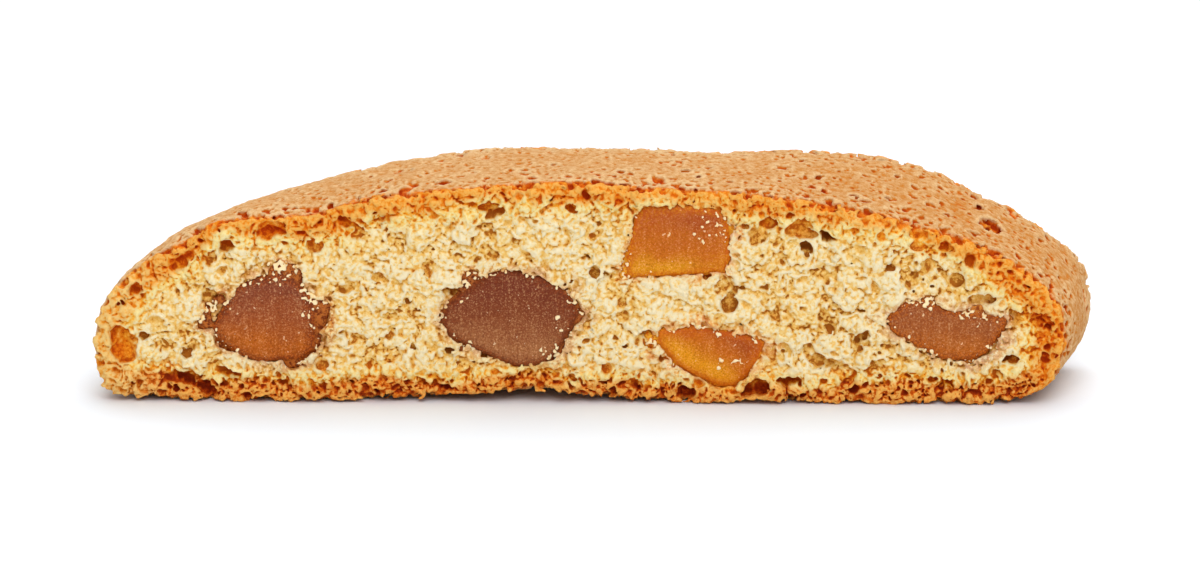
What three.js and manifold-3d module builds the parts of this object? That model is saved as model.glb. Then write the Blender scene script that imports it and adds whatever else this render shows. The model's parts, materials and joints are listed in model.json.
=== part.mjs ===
// A slice of twice-baked biscuit with candied fruit, standing on its baked base.
// Millimetres, +Z up. X runs along the slice, Y through it, and the two cut faces look along -Y and +Y.
// The origin is the middle of the slice's bounding box, on the surface that it stands on.
import * as THREE from "three";
import { mergeVertices } from "three/addons/utils/BufferGeometryUtils.js";
import Module from "manifold-3d";

const wasm = await Module();
wasm.setup();

// Driving dimensions of the slice.
const sliceLength = 91.4; // end to end on one cut face
const sliceHeight = 21.3; // base to the crown of the dome
const sliceThickness = 16; // from cut face to cut face
const biasDeg = 11.5; // the log is cut a little on the bias
const biasSlope = Math.tan(THREE.MathUtils.degToRad(biasDeg));
const halfLength = sliceLength / 2;
const halfThickness = sliceThickness / 2;

// The outline of a cut face: a low dome over a base with rounded corners.
const shoulderHeight = { left: 5.0, right: 6.2 }; // where the slice is widest
const domeFullness = { left: 2.35, right: 1.95 }; // 2 is an ellipse, more is squarer
const domeSteepness = 2.25;
const cornerRun = { left: 3.4, right: 7.2 }; // how far a base corner reaches in from the end
const endShare = 0.985; // the ends bulge out past this share of the half length

// Swells and dips of the baked top, and hollows under the base: centre, spread and rise.
const topSwells = [
  { x: -33, y: -7, spreadX: 3.5, spreadY: 5, rise: 0.6 },
  { x: -25, y: -8, spreadX: 5, spreadY: 5, rise: -1.2 },
  { x: -14, y: -8, spreadX: 6, spreadY: 5, rise: -0.3 },
  { x: 1, y: -8, spreadX: 2, spreadY: 4, rise: 0.6 },
  { x: 8, y: -8, spreadX: 5, spreadY: 5, rise: -0.4 },
  { x: -34, y: 8, spreadX: 8, spreadY: 7, rise: -0.8 },
  { x: -9, y: 8, spreadX: 10, spreadY: 6, rise: 0.45 },
  { x: 26, y: 8, spreadX: 11, spreadY: 7, rise: 1.9 },
  { x: 38, y: 5, spreadX: 2.5, spreadY: 3, rise: 0.6 },
];
const baseHollows = [
  { from: -41.5, to: -35.5, rise: 0.5 },
  { from: -25.5, to: 13, rise: 0.75 },
  { from: -8.5, to: 0, rise: 0.5 },
  { from: 15.5, to: 18.5, rise: 0.5 },
];
const rippleHeight = 0.14;

// Mesh steps along, through and up the slice.
const steps = { along: 48, through: 5, up: 6 };
const rimRounding = 0.45; // the crust's edges are broken back by this much
const cutRelief = 0.22; // how far the cut faces wander from flat

// Candied fruit: corners on the front cut face, as [x, z] from the middle of its base, and what
// becomes of that outline at the back cut face.
const fruitPieces = [
  {
    name: "candied_fruit_1",
    corners: [[-34.5, 6.8], [-31.2, 11.6], [-27.0, 12.2], [-24.6, 9.6], [-24.8, 4.2], [-30.6, 3.9]],
    back: { shrink: 0.82, turnDeg: 24, driftX: 0.8, driftZ: 0.6 },
  },
  {
    name: "candied_fruit_2",
    corners: [[-12.8, 8.6], [-7.5, 12.9], [-2.8, 12.0], [0.4, 9.2], [-2.2, 4.2], [-5.0, 3.3], [-12.2, 6.2]],
    back: { shrink: 0.7, turnDeg: -30, driftX: -1.5, driftZ: 0.9 },
  },
  {
    name: "candied_fruit_3",
    corners: [[5.5, 19.1], [13.7, 18.5], [14.0, 12.7], [4.1, 12.3]],
    back: { shrink: 0.86, turnDeg: 18, driftX: 1.8, driftZ: -1.4 },
  },
  {
    name: "candied_fruit_4",
    corners: [[6.8, 6.7], [11.2, 7.2], [17.6, 6.2], [15.6, 2.4], [14.1, 1.5], [9.6, 3.4]],
    back: { shrink: 0.9, turnDeg: -14, driftX: -1.2, driftZ: 0.7 },
  },
  {
    name: "candied_fruit_5",
    corners: [[28.2, 7.6], [30.8, 10.4], [34.2, 8.9], [40.4, 8.2], [37.6, 4.4], [34.2, 4.2]],
    back: { shrink: 0.8, turnDeg: 12, driftX: -0.6, driftZ: 1.0 },
  },
];
const fruitCornerRadius = 1.1;
const fruitOutlineSteps = 20;
const fruitCutBulge = 0.25; // the knife leaves soft fruit a little domed
const fruitEdge = 0.35; // the rounding round its cut faces
const fruitClearance = 0.3; // between the fruit and the crumb round it
const fruitStations = [-1, -0.5, 0, 0.5, 1]; // its sections, as shares of the half thickness

// Cavities that open on the front cut face, placed as the fruit is, with their width, height and depth.
const frontCavities = [
  { x: -42.6, z: 6.2, width: 2.1, height: 3.2, depth: 1.5 },
  { x: -37.2, z: 15.6, width: 2.6, height: 1.5, depth: 1.4 },
  { x: -28.2, z: 16.8, width: 3.2, height: 1.3, depth: 1.5 },
  { x: -36.6, z: 2.4, width: 4.2, height: 1.2, depth: 1.8 },
  { x: -8.2, z: 18.6, width: 2.4, height: 1.0, depth: 1.6 },
  { x: 21.2, z: 16.2, width: 2.8, height: 1.0, depth: 2.2 },
  { x: 17.8, z: 17.2, width: 2.2, height: 1.5, depth: 1.2 },
  { x: 14.2, z: 9.6, width: 2.3, height: 2.2, depth: 1.3 },
  { x: 22.4, z: 4.3, width: 2.0, height: 1.5, depth: 1.6 },
  { x: 17.1, z: 1.7, width: 2.2, height: 2.0, depth: 2.4 },
  { x: 31.6, z: 15.1, width: 2.0, height: 1.4, depth: 1.3 },
  { x: 35.2, z: 11.8, width: 1.6, height: 1.7, depth: 1.6 },
  { x: 38.3, z: 10.2, width: 1.7, height: 1.3, depth: 1.4 },
  { x: 40.6, z: 4.4, width: 1.3, height: 1.0, depth: 1.8 },
];
const randomCavities = { front: 6, back: 14, smallest: 1.0, largest: 2.4, depthShare: 0.7 };
const crustPits = { count: 7, smallest: 0.9, largest: 1.9, depthShare: 0.45, lengthShare: 0.86, margin: 2 };
const edgeMargin = 1.6; // random cavities keep this far inside the outline
const pebbleRoughness = 0.15; // how far a cavity's wall wanders, as a share of its size
const seed = 20;

const colours = { biscuit: 0xd9a864, fruit: 0xa9602a };

// A small seeded generator, so that the slice is the same each time.
function makeRandom(start) {
  let state = start;
  return () => {
    state = (state + 0x6d2b79f5) | 0;
    let mixed = Math.imul(state ^ (state >>> 15), 1 | state);
    mixed = (mixed + Math.imul(mixed ^ (mixed >>> 7), 61 | mixed)) ^ mixed;
    return ((mixed ^ (mixed >>> 14)) >>> 0) / 2 ** 32;
  };
}

function bump(distance, spread) {
  return Math.exp(-((distance / spread) ** 2));
}

// Height of the top crust over the base, before the swells. x is taken on a cut face, from its middle.
function domeHeight(x) {
  const side = x < 0 ? "left" : "right";
  const share = Math.min(1, Math.abs(x) / halfLength);
  const rise = (1 - share ** domeFullness[side]) ** (1 / domeSteepness);
  return shoulderHeight[side] + (sliceHeight - shoulderHeight[side]) * rise;
}

// Height of the underside, which curls up at the two base corners.
function cornerHeight(x) {
  const side = x < 0 ? "left" : "right";
  const into = Math.max(0, Math.abs(x) - (halfLength - cornerRun[side])) / cornerRun[side];
  return shoulderHeight[side] * (1 - Math.sqrt(1 - Math.min(1, into) ** 2));
}

function topHeight(x, y) {
  const ripple = rippleHeight * (Math.sin(0.9 * x + 0.7 * y) + Math.sin(0.43 * x - 1.1 * y + 2));
  const swell = topSwells.reduce(
    (sum, s) => sum + s.rise * bump(x - s.x, s.spreadX) * bump(y - s.y, s.spreadY),
    0,
  );
  const fade = 1 - (Math.abs(x) / halfLength) ** 6; // the swells die out towards the ends
  return domeHeight(x) + (ripple + swell) * fade;
}

function baseHeight(x) {
  const hollow = baseHollows.reduce((sum, h) => {
    const along = THREE.MathUtils.clamp((x - h.from) / (h.to - h.from), 0, 1);
    return sum + h.rise * Math.sin(Math.PI * along) ** 2;
  }, 0);
  return cornerHeight(x) + hollow;
}

// Where the cut face stands in front of (or behind) its flat plane.
function cutWander(x, z) {
  return cutRelief * (Math.sin(0.55 * x + 1) * Math.cos(0.5 * z) + 0.6 * Math.sin(1.3 * x - 0.9 * z));
}

// The whole slice as one block of rows and columns, bent to the dome.
function makeSlice() {
  const block = new THREE.BoxGeometry(2, 2, 2, steps.along, steps.through, steps.up);
  const points = block.getAttribute("position");
  for (let i = 0; i < points.count; i++) {
    const [a, b, c] = [points.getX(i), points.getY(i), points.getZ(i)];
    const onEnd = Math.abs(a) > 0.999;
    const onCut = Math.abs(b) > 0.999;
    const onCrust = onEnd || Math.abs(c) > 0.999;
    const flatX = halfLength * endShare * Math.sin((a * Math.PI) / 2);
    const bulge = onEnd ? Math.sign(a) * halfLength * (1 - endShare) * (1 - c * c) : 0;
    const rounding = onCut && onCrust ? rimRounding : 0;
    const y = b * (halfThickness - rounding);
    const low = baseHeight(flatX);
    const high = topHeight(flatX, y);
    let x = flatX + bulge;
    let z = THREE.MathUtils.lerp(low, high, (c + 1) / 2);
    if (rounding) {
      x -= onEnd ? Math.sign(a) * rounding : 0;
      z -= c > 0.999 ? rounding : 0;
    }
    const wander = onCut && !onCrust ? cutWander(x, z) * Math.sign(b) : 0;
    points.setXYZ(i, x + biasSlope * y, y + wander, z);
  }
  return block;
}

// A closed outline with its corners rounded, as evenly spaced points from its middle.
function roundedOutline(corners, radius, count) {
  const shape = new THREE.Shape();
  corners.forEach((corner, i) => {
    const here = new THREE.Vector2(...corner);
    const before = new THREE.Vector2(...corners.at(i - 1));
    const after = new THREE.Vector2(...corners[(i + 1) % corners.length]);
    const reach = Math.min(radius, here.distanceTo(before) / 2, here.distanceTo(after) / 2);
    const start = before.sub(here).setLength(reach).add(here);
    const end = after.sub(here).setLength(reach).add(here);
    if (i === 0) shape.moveTo(start.x, start.y);
    else shape.lineTo(start.x, start.y);
    shape.quadraticCurveTo(here.x, here.y, end.x, end.y);
  });
  shape.closePath();
  return shape.getSpacedPoints(count).slice(0, count);
}

function middleOf(outline) {
  return outline.reduce((sum, p) => sum.add(p), new THREE.Vector2()).divideScalar(outline.length);
}

// The fruit's outline at a depth, grown outwards by grow, and scaled about its middle by scale.
function fruitRing(piece, y, grow, scale) {
  const through = THREE.MathUtils.clamp((y + halfThickness) / sliceThickness, 0, 1);
  const outline = roundedOutline(piece.corners, fruitCornerRadius, fruitOutlineSteps);
  const middle = middleOf(outline);
  const turn = THREE.MathUtils.degToRad(piece.back.turnDeg) * through;
  const size = THREE.MathUtils.lerp(1, piece.back.shrink, through) * scale;
  return outline.map((p) => {
    const arm = p.clone().sub(middle);
    arm.multiplyScalar(size).setLength(arm.length() + grow);
    arm.rotateAround(new THREE.Vector2(), turn);
    const x = middle.x + arm.x + piece.back.driftX * through;
    const z = middle.y + arm.y + piece.back.driftZ * through;
    return new THREE.Vector3(x + biasSlope * y, y, z);
  });
}

// A closed body through rings of equal count, with a fan over the first and the last.
function closedLoft(rings) {
  const count = rings[0].length;
  const centreOf = (ring) =>
    ring.reduce((sum, p) => sum.add(p), new THREE.Vector3()).divideScalar(count);
  const points = [...rings.flat(), centreOf(rings[0]), centreOf(rings.at(-1))];
  const first = rings.length * count;
  const faces = [];
  for (let i = 0; i < count; i++) {
    const next = (i + 1) % count;
    faces.push(first, next, i);
    for (let r = 0; r < rings.length - 1; r++) {
      const [a, b] = [r * count + i, r * count + next];
      faces.push(a, b, a + count, b, b + count, a + count);
    }
    faces.push(first + 1, first - count + i, first - count + next);
  }
  return new THREE.BufferGeometry().setFromPoints(points).setIndex(faces);
}

// One piece of fruit, from its domed front cut to its domed back cut.
function makeFruit(piece) {
  const stations = fruitStations.map((share) => share * (halfThickness - fruitEdge));
  const cap = (side) => [
    [side * (halfThickness + fruitCutBulge), 0.55],
    [side * halfThickness, 0.93],
  ];
  const profile = [...cap(-1), ...stations.map((y) => [y, 1]), ...cap(1).reverse()];
  return closedLoft(profile.map(([y, scale]) => fruitRing(piece, y, 0, scale)));
}

// What the fruit takes out of the crumb: the same body, a clearance larger, and past both cut faces.
function makeFruitTunnel(piece) {
  const past = halfThickness + 2;
  const stations = [-past, ...fruitStations.map((share) => share * halfThickness), past];
  return closedLoft(stations.map((y) => fruitRing(piece, y, fruitClearance, 1)));
}

// A rough pebble: a coarse ball whose points wander in and out.
function makePebble(centre, size, random) {
  const ball = new THREE.IcosahedronGeometry(1, 1);
  ball.deleteAttribute("normal");
  ball.deleteAttribute("uv");
  const merged = mergeVertices(ball);
  const points = merged.getAttribute("position");
  for (let i = 0; i < points.count; i++) {
    const reach = 1 + pebbleRoughness * (2 * random() - 1);
    points.setXYZ(
      i,
      centre.x + (points.getX(i) * reach * size.x) / 2,
      centre.y + (points.getY(i) * reach * size.y) / 2,
      centre.z + (points.getZ(i) * reach * size.z) / 2,
    );
  }
  return merged;
}

function clearOfFruit(x, y, z, room) {
  return fruitPieces.every((piece) => {
    const ring = fruitRing(piece, y, room, 1);
    const middle = ring.reduce((sum, p) => sum.add(p), new THREE.Vector3()).divideScalar(ring.length);
    const reach = Math.max(...ring.map((p) => p.distanceTo(middle)));
    return Math.hypot(x - middle.x, z - middle.z) > reach;
  });
}

// Cavities on a cut face: side is -1 at the front and 1 at the back.
function scatterCavities(side, count, random) {
  const pebbles = [];
  const y = side * halfThickness;
  while (pebbles.length < count) {
    const width = THREE.MathUtils.lerp(randomCavities.smallest, randomCavities.largest, random() ** 2);
    const x = (random() * 2 - 1) * (halfLength - edgeMargin - width);
    const low = baseHeight(x) + edgeMargin + width / 2;
    const high = topHeight(x, y) - edgeMargin - width / 2;
    const z = THREE.MathUtils.lerp(low, high, random());
    const height = width * (0.6 + 0.5 * random());
    const size = new THREE.Vector3(width, width * 2 * randomCavities.depthShare, height);
    const centre = new THREE.Vector3(x + biasSlope * y, y, z);
    if (high > low && clearOfFruit(centre.x, y, z, width / 2)) pebbles.push(makePebble(centre, size, random));
  }
  return pebbles;
}

function scatterPits(random) {
  return Array.from({ length: crustPits.count }, () => {
    const width = THREE.MathUtils.lerp(crustPits.smallest, crustPits.largest, random());
    const x = (random() * 2 - 1) * halfLength * crustPits.lengthShare;
    const y = (random() * 2 - 1) * (halfThickness - crustPits.margin);
    const size = new THREE.Vector3(width * 1.3, width, width * 2 * crustPits.depthShare);
    return makePebble(new THREE.Vector3(x + biasSlope * y, y, topHeight(x, y)), size, random);
  });
}

function toSolid(geometry) {
  const bare = geometry.clone();
  bare.deleteAttribute("normal");
  bare.deleteAttribute("uv");
  const merged = mergeVertices(bare, 1e-4);
  return new wasm.Manifold(
    new wasm.Mesh({
      numProp: 3,
      vertProperties: new Float32Array(merged.getAttribute("position").array),
      triVerts: new Uint32Array(merged.index.array),
    }),
  );
}

function toGeometry(solid) {
  const mesh = solid.getMesh();
  const geometry = new THREE.BufferGeometry();
  geometry.setAttribute("position", new THREE.BufferAttribute(mesh.vertProperties, 3));
  geometry.setIndex(new THREE.BufferAttribute(mesh.triVerts, 1));
  geometry.computeVertexNormals();
  return geometry;
}

// The biscuit itself: crust and crumb in one, with its cavities and the room for the fruit cut out.
function makeBiscuit() {
  const random = makeRandom(seed);
  const named = frontCavities.map((cavity) => {
    const centre = new THREE.Vector3(cavity.x - biasSlope * halfThickness, -halfThickness, cavity.z);
    return makePebble(centre, new THREE.Vector3(cavity.width, cavity.depth * 2, cavity.height), random);
  });
  const cutters = [
    ...named,
    ...scatterCavities(-1, randomCavities.front, random),
    ...scatterCavities(1, randomCavities.back, random),
    ...scatterPits(random),
    ...fruitPieces.map(makeFruitTunnel),
  ];
  return toGeometry(cutters.reduce((body, cutter) => body.subtract(toSolid(cutter)), toSolid(makeSlice())));
}

function addMesh(group, name, geometry, colour, roughness) {
  const material = new THREE.MeshStandardMaterial({ color: colour, roughness, metalness: 0 });
  const mesh = new THREE.Mesh(geometry, material);
  mesh.name = name;
  group.add(mesh);
}

const slice = new THREE.Group();
addMesh(slice, "biscuit", makeBiscuit(), colours.biscuit, 0.85);
for (const piece of fruitPieces) addMesh(slice, piece.name, makeFruit(piece), colours.fruit, 0.4);

// Bring the middle of the base of the bounding box to the origin.
const bounds = new THREE.Box3().setFromObject(slice, true);
const middle = bounds.getCenter(new THREE.Vector3());
slice.position.set(-middle.x, -middle.y, -bounds.min.z);

export default slice;
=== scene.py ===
import json
import math
import time

import bpy
import numpy as np
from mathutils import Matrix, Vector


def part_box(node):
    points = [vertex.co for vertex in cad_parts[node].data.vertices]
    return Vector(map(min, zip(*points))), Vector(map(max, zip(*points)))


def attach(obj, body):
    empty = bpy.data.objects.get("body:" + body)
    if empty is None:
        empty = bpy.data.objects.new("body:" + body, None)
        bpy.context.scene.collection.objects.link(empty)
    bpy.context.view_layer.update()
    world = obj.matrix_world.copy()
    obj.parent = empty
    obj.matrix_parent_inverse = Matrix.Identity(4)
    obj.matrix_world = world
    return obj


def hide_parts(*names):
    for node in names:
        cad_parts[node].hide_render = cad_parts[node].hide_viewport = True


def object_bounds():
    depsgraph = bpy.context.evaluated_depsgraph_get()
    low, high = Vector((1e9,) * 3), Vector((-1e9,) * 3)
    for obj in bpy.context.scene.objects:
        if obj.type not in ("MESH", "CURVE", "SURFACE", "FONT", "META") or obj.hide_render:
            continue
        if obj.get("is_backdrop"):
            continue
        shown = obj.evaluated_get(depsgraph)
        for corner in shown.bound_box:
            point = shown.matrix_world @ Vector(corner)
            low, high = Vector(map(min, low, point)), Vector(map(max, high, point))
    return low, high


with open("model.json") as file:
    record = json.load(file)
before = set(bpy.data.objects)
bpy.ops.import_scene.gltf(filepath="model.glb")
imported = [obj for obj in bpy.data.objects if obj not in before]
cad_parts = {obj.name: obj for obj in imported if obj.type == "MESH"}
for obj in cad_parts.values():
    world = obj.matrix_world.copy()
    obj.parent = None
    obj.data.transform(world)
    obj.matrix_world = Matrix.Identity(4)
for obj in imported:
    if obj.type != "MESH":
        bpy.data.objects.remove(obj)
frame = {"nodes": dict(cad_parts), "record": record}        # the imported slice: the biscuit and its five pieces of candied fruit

import openvdb as vdb
from mathutils import Vector
from mathutils.bvhtree import BVHTree

cadLow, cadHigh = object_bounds()
startTime = time.time()

# All lengths here are millimetres. Meshes are put back into metres as they are made.
mm = 0.001
fruitNames = sorted(name for name in frame["nodes"] if name.startswith("candied_fruit"))
fruitProud = 0.25    # how far the fruit's cut stands out of the crumb's
fruitFace = min(abs(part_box(name)[0][1]) for name in fruitNames) / mm
cutPlane = fruitFace - fruitProud

workGrid = {
    "voxel": 0.12,
    "quickFactor": 1.6,
    "margin": 0.9,            # room round the slice
    "toCrust": (0.4, 7.0),    # voxel and reach of a coarser grid for the distance to the crust
    "toFruit": (0.3, 3.0),    # and to the fruit
}


def report(stage):
    print(f"[{time.time() - startTime:6.1f} s] {stage}", flush=True)


# The working grid covers the whole slice. axes holds its coordinates along X, Y and Z.
voxel = workGrid["voxel"] * 1
firstCell = np.floor((np.array(cadLow) / mm - workGrid["margin"]) / voxel).astype(int)
lastCell = np.ceil((np.array(cadHigh) / mm + workGrid["margin"]) / voxel).astype(int)
cellCount = lastCell - firstCell + 1
axes = [((firstCell[a] + np.arange(cellCount[a])) * voxel).astype(np.float32) for a in range(3)]
gridX, gridY, gridZ = np.meshgrid(*axes, indexing="ij", sparse=True)


def faceIndex(side):
    # the layer of the grid at the front (-1) or back (1) cut face
    return int(np.argmin(np.abs(axes[1] - side * cutPlane)))


def cellAt(value, axis):
    return np.clip((value - axis[0]) / voxel, 0, len(axis) - 1).astype(int)


def meshPoints(mesh):
    points = np.empty(len(mesh.vertices) * 3, np.float32)
    mesh.vertices.foreach_get("co", points)
    return points.reshape(-1, 3) / mm


def nodeTriangles(name):
    mesh = frame["nodes"][name].data
    mesh.calc_loop_triangles()
    faces = np.empty(len(mesh.loop_triangles) * 3, np.int32)
    mesh.loop_triangles.foreach_get("vertices", faces)
    return meshPoints(mesh), faces.reshape(-1, 3)


def levelSet(points, faces, step, reach):
    return vdb.FloatGrid.createLevelSetFromPolygons(
        points=np.ascontiguousarray(points, np.float32),
        triangles=np.ascontiguousarray(faces, np.uint32),
        transform=vdb.createLinearTransform(voxelSize=step),
        halfWidth=reach / step,
    )


def denseField(sparse, first, count):
    field = np.empty(tuple(int(c) for c in count), np.float32)
    sparse.copyToArray(field, ijk=tuple(int(c) for c in first))
    return field


def refine(coarse, origin, step, smooth=False):
    # values on a coarse lattice brought to the working grid, one axis at a time
    field = coarse
    for axis in range(3):
        place = (axes[axis] - origin[axis]) / step
        cell = np.clip(np.floor(place).astype(int), 0, coarse.shape[axis] - 2)
        share = np.clip(place - cell, 0, 1).astype(np.float32)
        if smooth:
            share = share * share * (3 - 2 * share)
        share = share.reshape([-1 if a == axis else 1 for a in range(3)])
        near = np.take(field, cell, axis=axis)
        field = near + (np.take(field, cell + 1, axis=axis) - near) * share
    return field


def coarseField(meshes, step, reach):
    # the distance to the nearest of some meshes, further out than the working grid's own
    first = np.floor(np.array([axis[0] for axis in axes]) / step).astype(int) - 1
    count = np.ceil(np.array([axis[-1] for axis in axes]) / step).astype(int) + 1 - first
    fields = [denseField(levelSet(*mesh, step, reach), first, count) for mesh in meshes]
    return refine(np.minimum.reduce(fields), first * step, step)


def noiseField(size, seed):
    # soft noise from -1 to 1, with lumps of about this size
    random = np.random.default_rng(seed)
    low = np.array([axis[0] for axis in axes]) - random.random(3) * size
    span = np.array([axis[-1] for axis in axes]) - low
    lattice = random.uniform(-1, 1, tuple((np.ceil(span / size) + 2).astype(int))).astype(np.float32)
    return refine(lattice, low, size, smooth=True)


def noiseHeight(part, seed):
    return part["height"] * noiseField(part["size"], seed)


def flatNoise(u, v, size, seed):
    # the same soft noise over two coordinates
    random = np.random.default_rng(seed)
    places = [(w - w.min()) / size + random.random() for w in (u, v)]
    lattice = random.uniform(-1, 1, [int(p.max()) + 2 for p in places]).astype(np.float32)
    cells = [np.floor(p).astype(int) for p in places]
    a, b = ((p - c) * (p - c) * (3 - 2 * (p - c)) for p, c in zip(places, cells))
    i, j = cells
    near = lattice[i, j] + (lattice[i, j + 1] - lattice[i, j]) * b
    far = lattice[i + 1, j] + (lattice[i + 1, j + 1] - lattice[i + 1, j]) * b
    return (near + (far - near) * a).astype(np.float32)


def smoothMax(a, b, radius):
    # the larger of two, with the edge between them rounded
    blend = np.maximum(radius - np.abs(a - b), 0) / radius
    return np.maximum(a, b) + blend * blend * (radius / 4)


# The outline of the slice without its cavities: seen from outside along rays to its spine.
outline = {
    "sections": 9,
    "rays": 240,
    "reachY": 7.2,
    "spineHeight": 7.0,
    "flatness": 4.0,      # gathers the rays towards the long slice's ends
    "rayLength": 80,
    "smoothing": 3,
    "beyond": 18.0,       # how far the outline runs on past the cut faces
}


def sectionOutline(tree, y, centreX):
    ring = []
    centre = Vector((centreX, y, outline["spineHeight"]))
    for i in range(outline["rays"]):
        turn = 2 * math.pi * i / outline["rays"]
        away = Vector((math.cos(turn) * outline["flatness"], 0, math.sin(turn))).normalized()
        hit = tree.ray_cast(centre + away * outline["rayLength"], -away)[0]
        ring.append((hit.x, hit.z))
    ring = np.array(ring)
    for _ in range(outline["smoothing"]):
        ring = ring * 0.5 + (np.roll(ring, 1, axis=0) + np.roll(ring, -1, axis=0)) * 0.25
    return ring


def envelopeField():
    points, faces = nodeTriangles("biscuit")
    tree = BVHTree.FromPolygons(points.tolist(), faces.tolist())
    stations = np.linspace(-outline["reachY"], outline["reachY"], outline["sections"])
    ends = [sectionOutline(tree, y, 0)[:, 0] for y in stations[[0, -1]]]
    lean = (ends[1].max() + ends[1].min() - ends[0].max() - ends[0].min()) / 2 / (stations[-1] - stations[0])
    rings = [sectionOutline(tree, y, lean * y) for y in stations]
    # the first and last sections run on past the cut faces, leaning as the slice does
    past = outline["beyond"] - outline["reachY"]
    rings.insert(0, rings[0] - (lean * past, 0))
    rings.append(rings[-1] + (lean * past, 0))
    stations = np.concatenate([[-outline["beyond"]], stations, [outline["beyond"]]])
    count = outline["rays"]
    points = [(x, y, z) for ring, y in zip(rings, stations) for x, z in ring]
    for end in (0, -1):
        points.append((rings[end][:, 0].mean(), stations[end], rings[end][:, 1].mean()))
    faces = []
    middle = len(rings) * count
    for i in range(count):
        after = (i + 1) % count
        faces.append((middle, i, after))
        faces.append((middle + 1, middle - count + after, middle - count + i))
        for r in range(len(rings) - 1):
            a, b = r * count + i, r * count + after
            faces += [(a, a + count, b), (b, a + count, b + count)]
    return coarseField([(points, faces)], *workGrid["toCrust"]), lean


envelope, lean = envelopeField()
crustDepth = -envelope
cutDepth = (cutPlane - np.abs(axes[1])).astype(np.float32)[None, :, None]    # how far behind a cut face
report(f"outline of the slice, leaning {lean:.3f}")


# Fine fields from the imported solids. Past "keep" their shapes run on outwards, leaning with the slice.
solids = {"reach": 0.6, "biscuitKeep": 7.3, "fruitKeep": 6.9}


def fineField(name, keep):
    field = denseField(levelSet(*nodeTriangles(name), voxel, solids["reach"]), firstCell, cellCount)
    for j, y in enumerate(axes[1]):
        if abs(y) <= keep:
            continue
        edge = math.copysign(keep, y)
        source = int(round((edge - axes[1][0]) / voxel))
        shift = int(round(lean * (y - edge) / voxel))
        field[:, j, :] = np.roll(field[:, source, :], shift, axis=0)
    return field


biscuitField = fineField("biscuit", solids["biscuitKeep"])
fruitFields = {name: fineField(name, solids["fruitKeep"]) for name in fruitNames}
fruitField = np.minimum.reduce(list(fruitFields.values()))
report("fields of the packed solids")


# Each cut face is a map of how far the torn crumb stands out of the cut plane, over X and Z.
crumbShape = {
    "cavities": {"depth": 0.6, "size": 3.0, "height": 0.4, "round": 0.3, "ragged": 0.12},    # few are deeper
    "cavityClods": {"size": 0.70, "height": 0.7, "tears": 0.5},
    "rimRadius": 0.3,         # the crust's edges at the cut faces
    "rimWidth": 0.9,          # lumps are lower this near the crust
    "shear": (0.83, 0.56),    # turns the noise off the slice's own axes
    "nearFruit": {"within": 0.55, "height": 0.14, "calm": 0.4},
    "swells": {"size": 4.5, "height": 0.20},
    "patches": {"size": 2.3, "height": 0.30, "cliff": 2.2},
    "warp": {"size": 1.1, "reach": 0.3},      # bends every round thing out of true
    "fray": {"size": 0.36, "reach": 0.16},    # and frays its edge
    "tears": {"size": 0.36, "height": 0.10},
    "clods": {"size": 0.75, "height": 0.36},
    "creases": {"size": 0.40, "height": 0.20},
    "clumps": {"perSquare": 0.8, "radius": (0.5, 1.8), "rise": 0.36, "sunk": 0.35},
    "hollows": {"perSquare": 0.22, "radius": (0.4, 1.3), "rise": 0.42},
    "grains": {"perSquare": 15.0, "radius": (0.13, 0.30), "rise": 1.2, "sunk": 0.2},
    "crustGrains": {"perSquare": 16, "radius": (0.12, 0.26), "rise": 1.1, "sunk": 0.25, "within": 2.4},
    "crustPits": {"perSquare": 1.1, "radius": (0.18, 0.55), "rise": 1.2, "steep": True, "within": 2.2},
    "baseClods": {"perSquare": 9.0, "radius": (0.13, 0.32), "rise": 0.9, "sunk": 0.3, "within": 2.0},
    "baseHoles": {"perSquare": 7.0, "radius": (0.14, 0.34), "rise": 1.5, "steep": True},
    "baseHoleRow": {"height": 2.1, "spread": 0.4, "wander": 0.3},
    "baseCreases": {"size": 0.36, "height": 0.4, "within": 2.0},
    "bubbles": {"perSquare": 0.04, "radius": (0.3, 0.8), "rise": 0.6, "steep": True},
    "pockets": {"perSquare": 0.65, "radius": (0.13, 0.30), "rise": 1.3, "steep": True},
    "dust": {"size": 0.2, "height": 0.05},
}
skinShape = {
    "swells": {"size": 2.8, "height": 0.16},
    "wrinkles": {"size": 0.75, "height": 0.07},
    "pimples": {"size": 0.34, "height": 0.06},
    "baseRoughness": 0.5,    # the underside is rougher than the top
}


def pressOne(height, level, warpX, warpZ, spot, size, flat, turn, rise, bowl, steep=True):
    # one rounded lump that stands up to rise over level, or one bowl that goes down as far
    reach = int((size + crumbShape["warp"]["reach"]) / voxel) + 1
    window = tuple(slice(max(c - reach, 0), c + reach + 1) for c in spot)
    u = warpX[window] - warpX[spot]
    v = warpZ[window] - warpZ[spot]
    c, s = math.cos(turn) / size, math.sin(turn) / size
    along = u * c + v * s
    across = (v * c - u * s) / flat
    inside = 1 - along * along - across * across
    cap = rise * np.maximum(inside, 0) ** (0.5 if steep else 0.85)
    region = height[window]
    if bowl:
        np.minimum(region, np.where(inside > 0, level - cap, region), out=region)
    else:
        np.maximum(region, np.where(inside > 0, level + cap, region), out=region)


def pickSize(random, radius, count=None, power=1.5):
    # small ones are commoner than large ones
    low, high = radius
    return low * (high / low) ** (random.random(count) ** power)


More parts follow.
